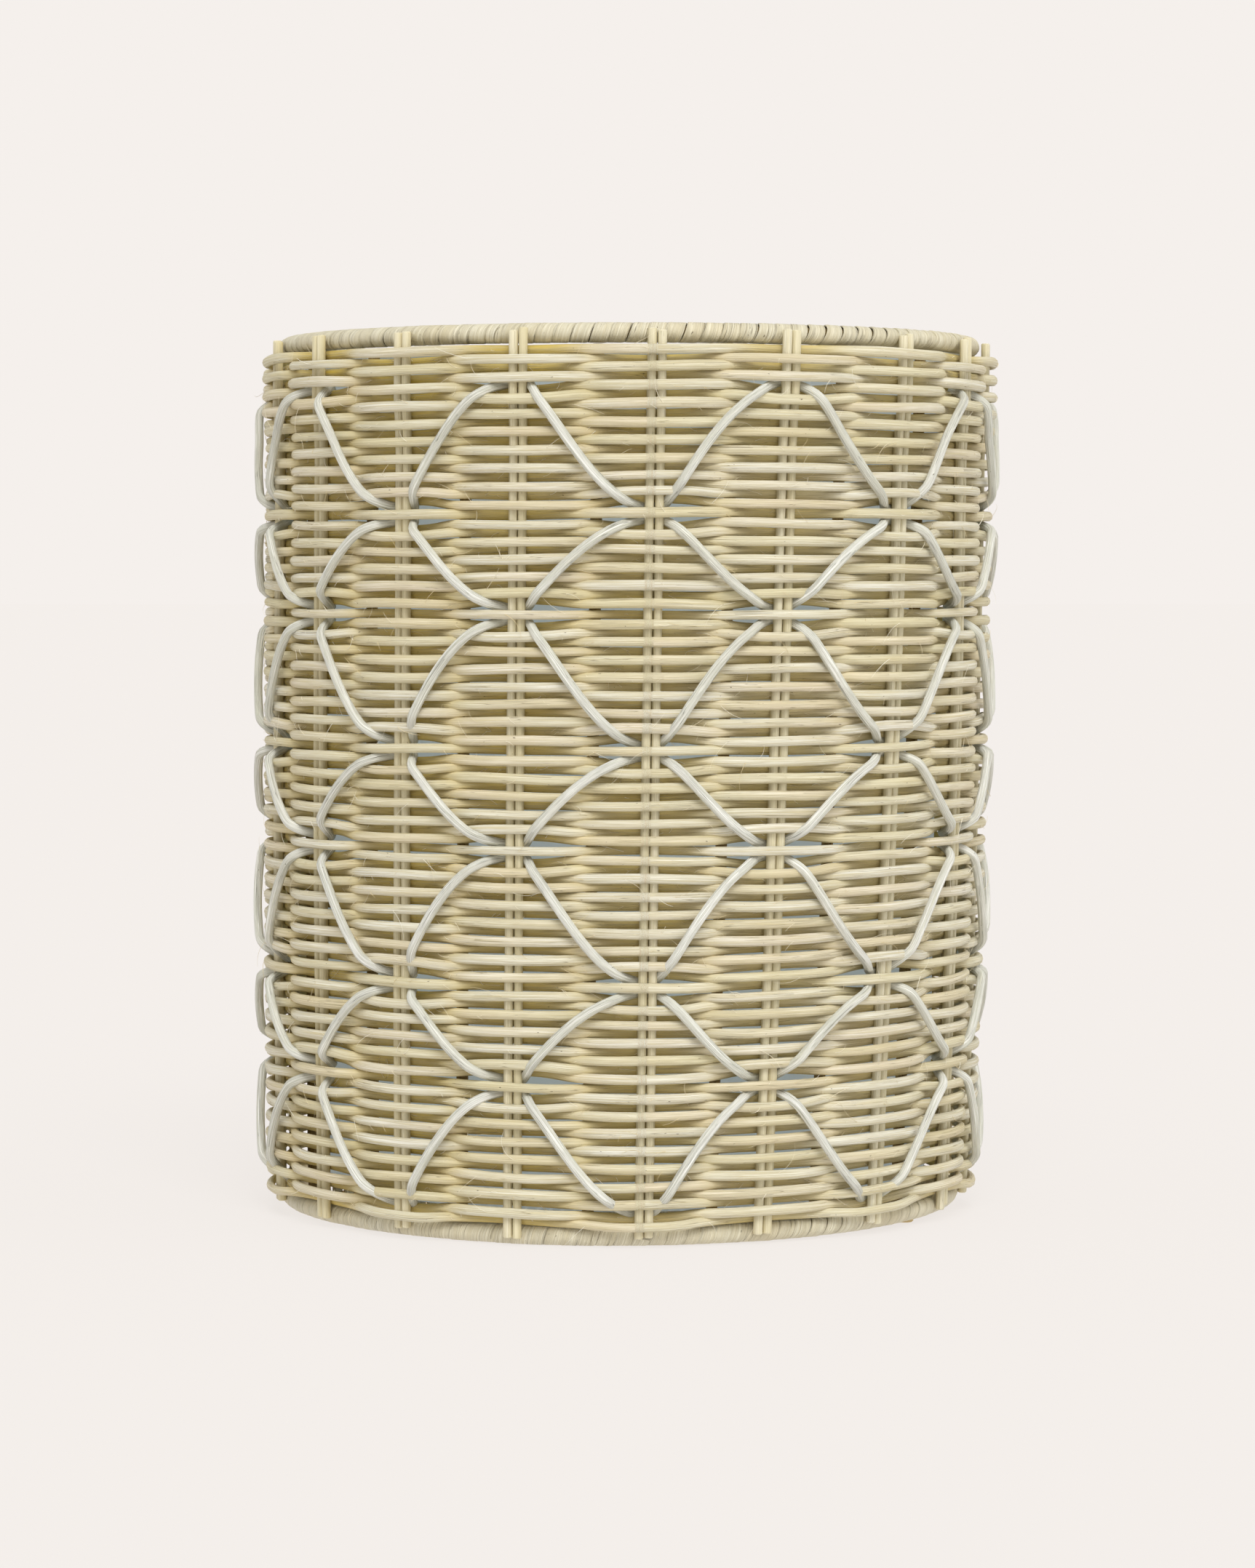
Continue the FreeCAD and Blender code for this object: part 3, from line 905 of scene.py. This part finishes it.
def basketFloor():
    bearerLow, bearerHigh = boxOf("base_bearers")
    caneLow, caneHigh = boxOf("base_canes")
    half = (bearerHigh[2] - bearerLow[2]) / 2
    level = bearerLow[2] + half
    outer = bearerHigh[1] - half
    bars = []
    for y in (-outer, 0.0, outer):
        reach = math.sqrt(bearerHigh[0] ** 2 - y * y)
        bars.append(roundBar((-reach, y, level), (reach, y, level), half))
    makePiece("baseBearers", bars, floorCane, "basket", ["base_bearers"])
    half = (caneHigh[2] - caneLow[2]) / 2
    level = caneLow[2] + half
    canes = []
    for n in range(-floorBars["canesEachSide"], floorBars["canesEachSide"] + 1):
        x = n * floorBars["canePitch"] + seedStream.uniform(*floorBars["caneAside"])
        reach = math.sqrt(max(caneHigh[1] ** 2 - (abs(x) + half) ** 2, 0))
        reach += seedStream.uniform(*floorBars["caneShorter"])
        size = half * seedStream.uniform(*floorBars["caneSizes"])
        canes.append(roundBar((x, -reach, level), (x, reach, level), size))
    makePiece("baseCanes", canes, floorCane, "basket", ["base_canes"], spread=0.45)


basketFloor()
print("floor laid")


liner = {
    "wall": 1.6,
    "corner": 12.0,         # rounding between wall and floor
    "bead": 1.8,            # half size of the rolled lip
    "floorRadius": 107.5,
    "panel": 60.0,          # the middle of the floor is raised inside this radius
    "panelStep": 2.0,       # half width of the slope at its edge
    "panelRise": 1.2,
    "segments": 144,
}


def arc(centre, radius, start, end, count):
    turn = np.radians(np.linspace(start, end, count))
    return [(centre[0] + radius * math.cos(a), centre[1] + radius * math.sin(a)) for a in turn]


def linerProfile():
    bottom, top = linerLow[2], linerHigh[2] - liner["bead"]
    rim = linerHigh[0] - liner["bead"] + liner["wall"] / 2
    foot, wall, corner = liner["floorRadius"], liner["wall"], liner["corner"]
    panel, step, rise = liner["panel"], liner["panelStep"], liner["panelRise"]
    outside = [(0.0, bottom + rise), (panel - step, bottom + rise), (panel, bottom + rise * 0.75)]
    outside += [(panel + step, bottom), (foot - corner - 4, bottom)]
    outside += arc((foot - corner, bottom + corner), corner, -90, -2, 12)
    for t in (0.25, 0.5, 0.75, 0.96):
        outside.append((foot + (rim - foot) * t, bottom + corner + (top - bottom - corner) * t))
    bead = arc((rim - wall / 2, top), liner["bead"], -60, 240, 16)
    inside = [(x - wall, z) for x, z in reversed(outside[-4:])]
    inside += arc((foot - corner, bottom + corner), corner - wall, -2, -90, 12)
    inside += [(panel + step, bottom + wall), (0.0, bottom + wall + 1.0)]
    return outside + bead + inside


def plasticLiner():
    profile = np.array(linerProfile())
    segments = liner["segments"]
    theta = np.arange(segments) * 2 * math.pi / segments
    inner = profile[1:-1]
    ring = np.stack([
        np.sin(theta)[None, :] * inner[:, :1],
        -np.cos(theta)[None, :] * inner[:, :1],
        np.broadcast_to(inner[:, 1:], (len(inner), segments)),
    ], axis=-1)
    verts = np.vstack([ring.reshape(-1, 3), [[0, 0, profile[0, 1]], [0, 0, profile[-1, 1]]]])
    i, j = np.meshgrid(np.arange(len(inner) - 1), np.arange(segments), indexing="ij")
    after = (j + 1) % segments
    here, above = i * segments, (i + 1) * segments
    quads = np.stack([here + j, here + after, above + after, above + j], -1)
    around = np.arange(segments)
    beyond = (around + 1) % segments
    last = (len(inner) - 1) * segments
    low = np.stack([beyond, around, np.full(segments, len(verts) - 2)], -1)
    high = np.stack([last + around, last + beyond, np.full(segments, len(verts) - 1)], -1)
    body = {"verts": verts, "quads": quads.reshape(-1, 4), "laid": verts.copy(), "cut": []}
    body["caps"] = np.vstack([low, high])
    piece = makePiece("plasticLiner", [body], milkyPlastic, "liner", ["liner"],
                      spread=0.0)
    piece.data.polygons.foreach_set("use_smooth", np.ones(len(piece.data.polygons), bool))


plasticLiner()
print("liner made")


fibres = {
    "count": 4400,
    "thickness": 0.095,
    "thicknessVaries": (0.6, 1.3),
    "shortest": 1.4,
    "usual": 3.0,           # how much longer most of them are
    "longest": 12.0,
    "root": 1.35,           # it leaves the row this far outside the row's centre line
    "lift": (0.05, 0.6),    # from lying on the row to standing off
    "climb": (-0.9, 0.9),   # its first heading, in radians from level
    "curl": (-1.4, 1.4),    # and how much that turns along it
    "lowest": 0.8,
    "steps": 8,
}


def looseFibres():
    # splinters that lift from the peeled cane, rooted in the rows
    hairs = []
    t = np.linspace(0, 1, fibres["steps"])
    for _ in range(fibres["count"]):
        row = int(seedStream.integers(1, rows["count"] + 1))
        theta = seedStream.uniform(0, 2 * math.pi)
        depth = rowSide(row) * rows["swing"] * math.cos(math.pi * theta / pairStep)
        length = min(fibres["shortest"] + seedStream.exponential(fibres["usual"]), fibres["longest"])
        side = seedStream.choice([-1, 1])
        lift = seedStream.uniform(*fibres["lift"])
        heading = seedStream.uniform(*fibres["climb"]) + seedStream.uniform(*fibres["curl"]) * t
        step = length / (len(t) - 1)
        along = side * np.concatenate([[0], np.cumsum(np.cos(heading[:-1]))]) * step
        rise = np.concatenate([[0], np.cumsum(np.sin(heading[:-1]))]) * step
        radius = basket["weaveRadius"] + depth + fibres["root"] + length * lift * t * (1 - 0.6 * t)
        height = np.maximum(float(rowHeightAt(row, np.array(theta))) + rise, fibres["lowest"])
        centre = place(theta + along / basket["weaveRadius"], radius, height)
        thick = fibres["thickness"] * (1 - 0.6 * t) * seedStream.uniform(*fibres["thicknessVaries"])
        hairs.append(sweep(centre, centre * (1, 1, 0), thick, sides=3, wander=0.0))
    makePiece("looseFibres", hairs, looseFibre, "basket", spread=0.5)


looseFibres()
print("loose fibres made")


light = {
    "backdrop": linear(245, 240, 236),
    "floorSize": 40.0, "floorGlow": 0.832, "floorAlbedo": 0.14,
    "roomColour": (1.0, 0.98, 0.95, 1.0), "roomStrength": 0.69,
    "keyStrength": 1.8, "keyAngle": 32.0, "keyFrom": (0.03, -0.78, 0.78),
    "fillStrength": 0.6, "fillAngle": 90.0, "fillFrom": (0.9, -0.6, 0.2),
}


def studioFloor():
    # an opal table top, lit from below as well, so that its colour meets the backdrop's
    size = light["floorSize"]
    mesh = bpy.data.meshes.new("studioFloor")
    corners = [(-size, -size, 0), (size, -size, 0), (size, size, 0), (-size, size, 0)]
    mesh.from_pydata(corners, [], [(0, 1, 2, 3)])
    floor = bpy.data.objects.new("studioFloor", mesh)
    floor.location.z = cadBounds[0][2]
    bpy.context.scene.collection.objects.link(floor)
    material, tree, shader = newMaterial("opalTable")
    tint = [v * light["floorAlbedo"] for v in light["backdrop"][:3]]
    shader.inputs["Base Color"].default_value = tint + [1.0]
    shader.inputs["Roughness"].default_value = 1.0
    shader.inputs["Specular IOR Level"].default_value = 0.0
    shader.inputs["Emission Color"].default_value = light["backdrop"]
    shader.inputs["Emission Strength"].default_value = light["floorGlow"]
    mesh.materials.append(material)


def addSun(name, strength, angle, source):
    sun = bpy.data.lights.new(name, "SUN")
    sun.energy = strength
    sun.angle = math.radians(angle)
    lamp = bpy.data.objects.new(name, sun)
    lamp.rotation_mode = "QUATERNION"
    lamp.rotation_quaternion = Vector(source).to_track_quat("Z", "Y")
    bpy.context.scene.collection.objects.link(lamp)


def studioLight():
    world = bpy.data.worlds.new("studio")
    bpy.context.scene.world = world
    world.use_nodes = True
    tree = world.node_tree
    seen = tree.nodes["Background"]
    seen.inputs["Color"].default_value = light["backdrop"]
    room = addNode(tree, "ShaderNodeBackground", Color=light["roomColour"],
                   Strength=light["roomStrength"])
    pick = tree.nodes.new("ShaderNodeMixShader")
    tree.links.new(tree.nodes.new("ShaderNodeLightPath").outputs["Is Camera Ray"], pick.inputs[0])
    tree.links.new(room.outputs[0], pick.inputs[1])
    tree.links.new(seen.outputs[0], pick.inputs[2])
    tree.links.new(pick.outputs[0], tree.nodes["World Output"].inputs["Surface"])
    addSun("keyLight", light["keyStrength"], light["keyAngle"], light["keyFrom"])
    addSun("fillLight", light["fillStrength"], light["fillAngle"], light["fillFrom"])
    bpy.context.scene.view_settings.view_transform = "Standard"


camera = {
    "distance": 1740.0,    # from the basket's axis
    "azimuth": -3.6,       # the front pair stands a little right of the middle
    "eye": 219.0,          # height of the lens
    "pitch": -2.37,
    "lens": 114.3,
    "aside": 1.7,          # the basket stands this far left of the middle
}


def studioCamera():
    data = bpy.data.cameras.new("studioCamera")
    data.lens = camera["lens"]
    data.sensor_width = 36.0
    data.clip_end = 200.0
    view = bpy.data.objects.new("studioCamera", data)
    turn = math.radians(camera["azimuth"])
    view.location = (
        camera["distance"] * mm * math.sin(turn) + camera["aside"] * mm,
        -camera["distance"] * mm * math.cos(turn),
        camera["eye"] * mm,
    )
    view.rotation_euler = (math.radians(90 + camera["pitch"]), 0.0, turn)
    bpy.context.scene.collection.objects.link(view)
    bpy.context.scene.camera = view


studioFloor()
studioLight()
studioCamera()
print("stage, light and camera set")
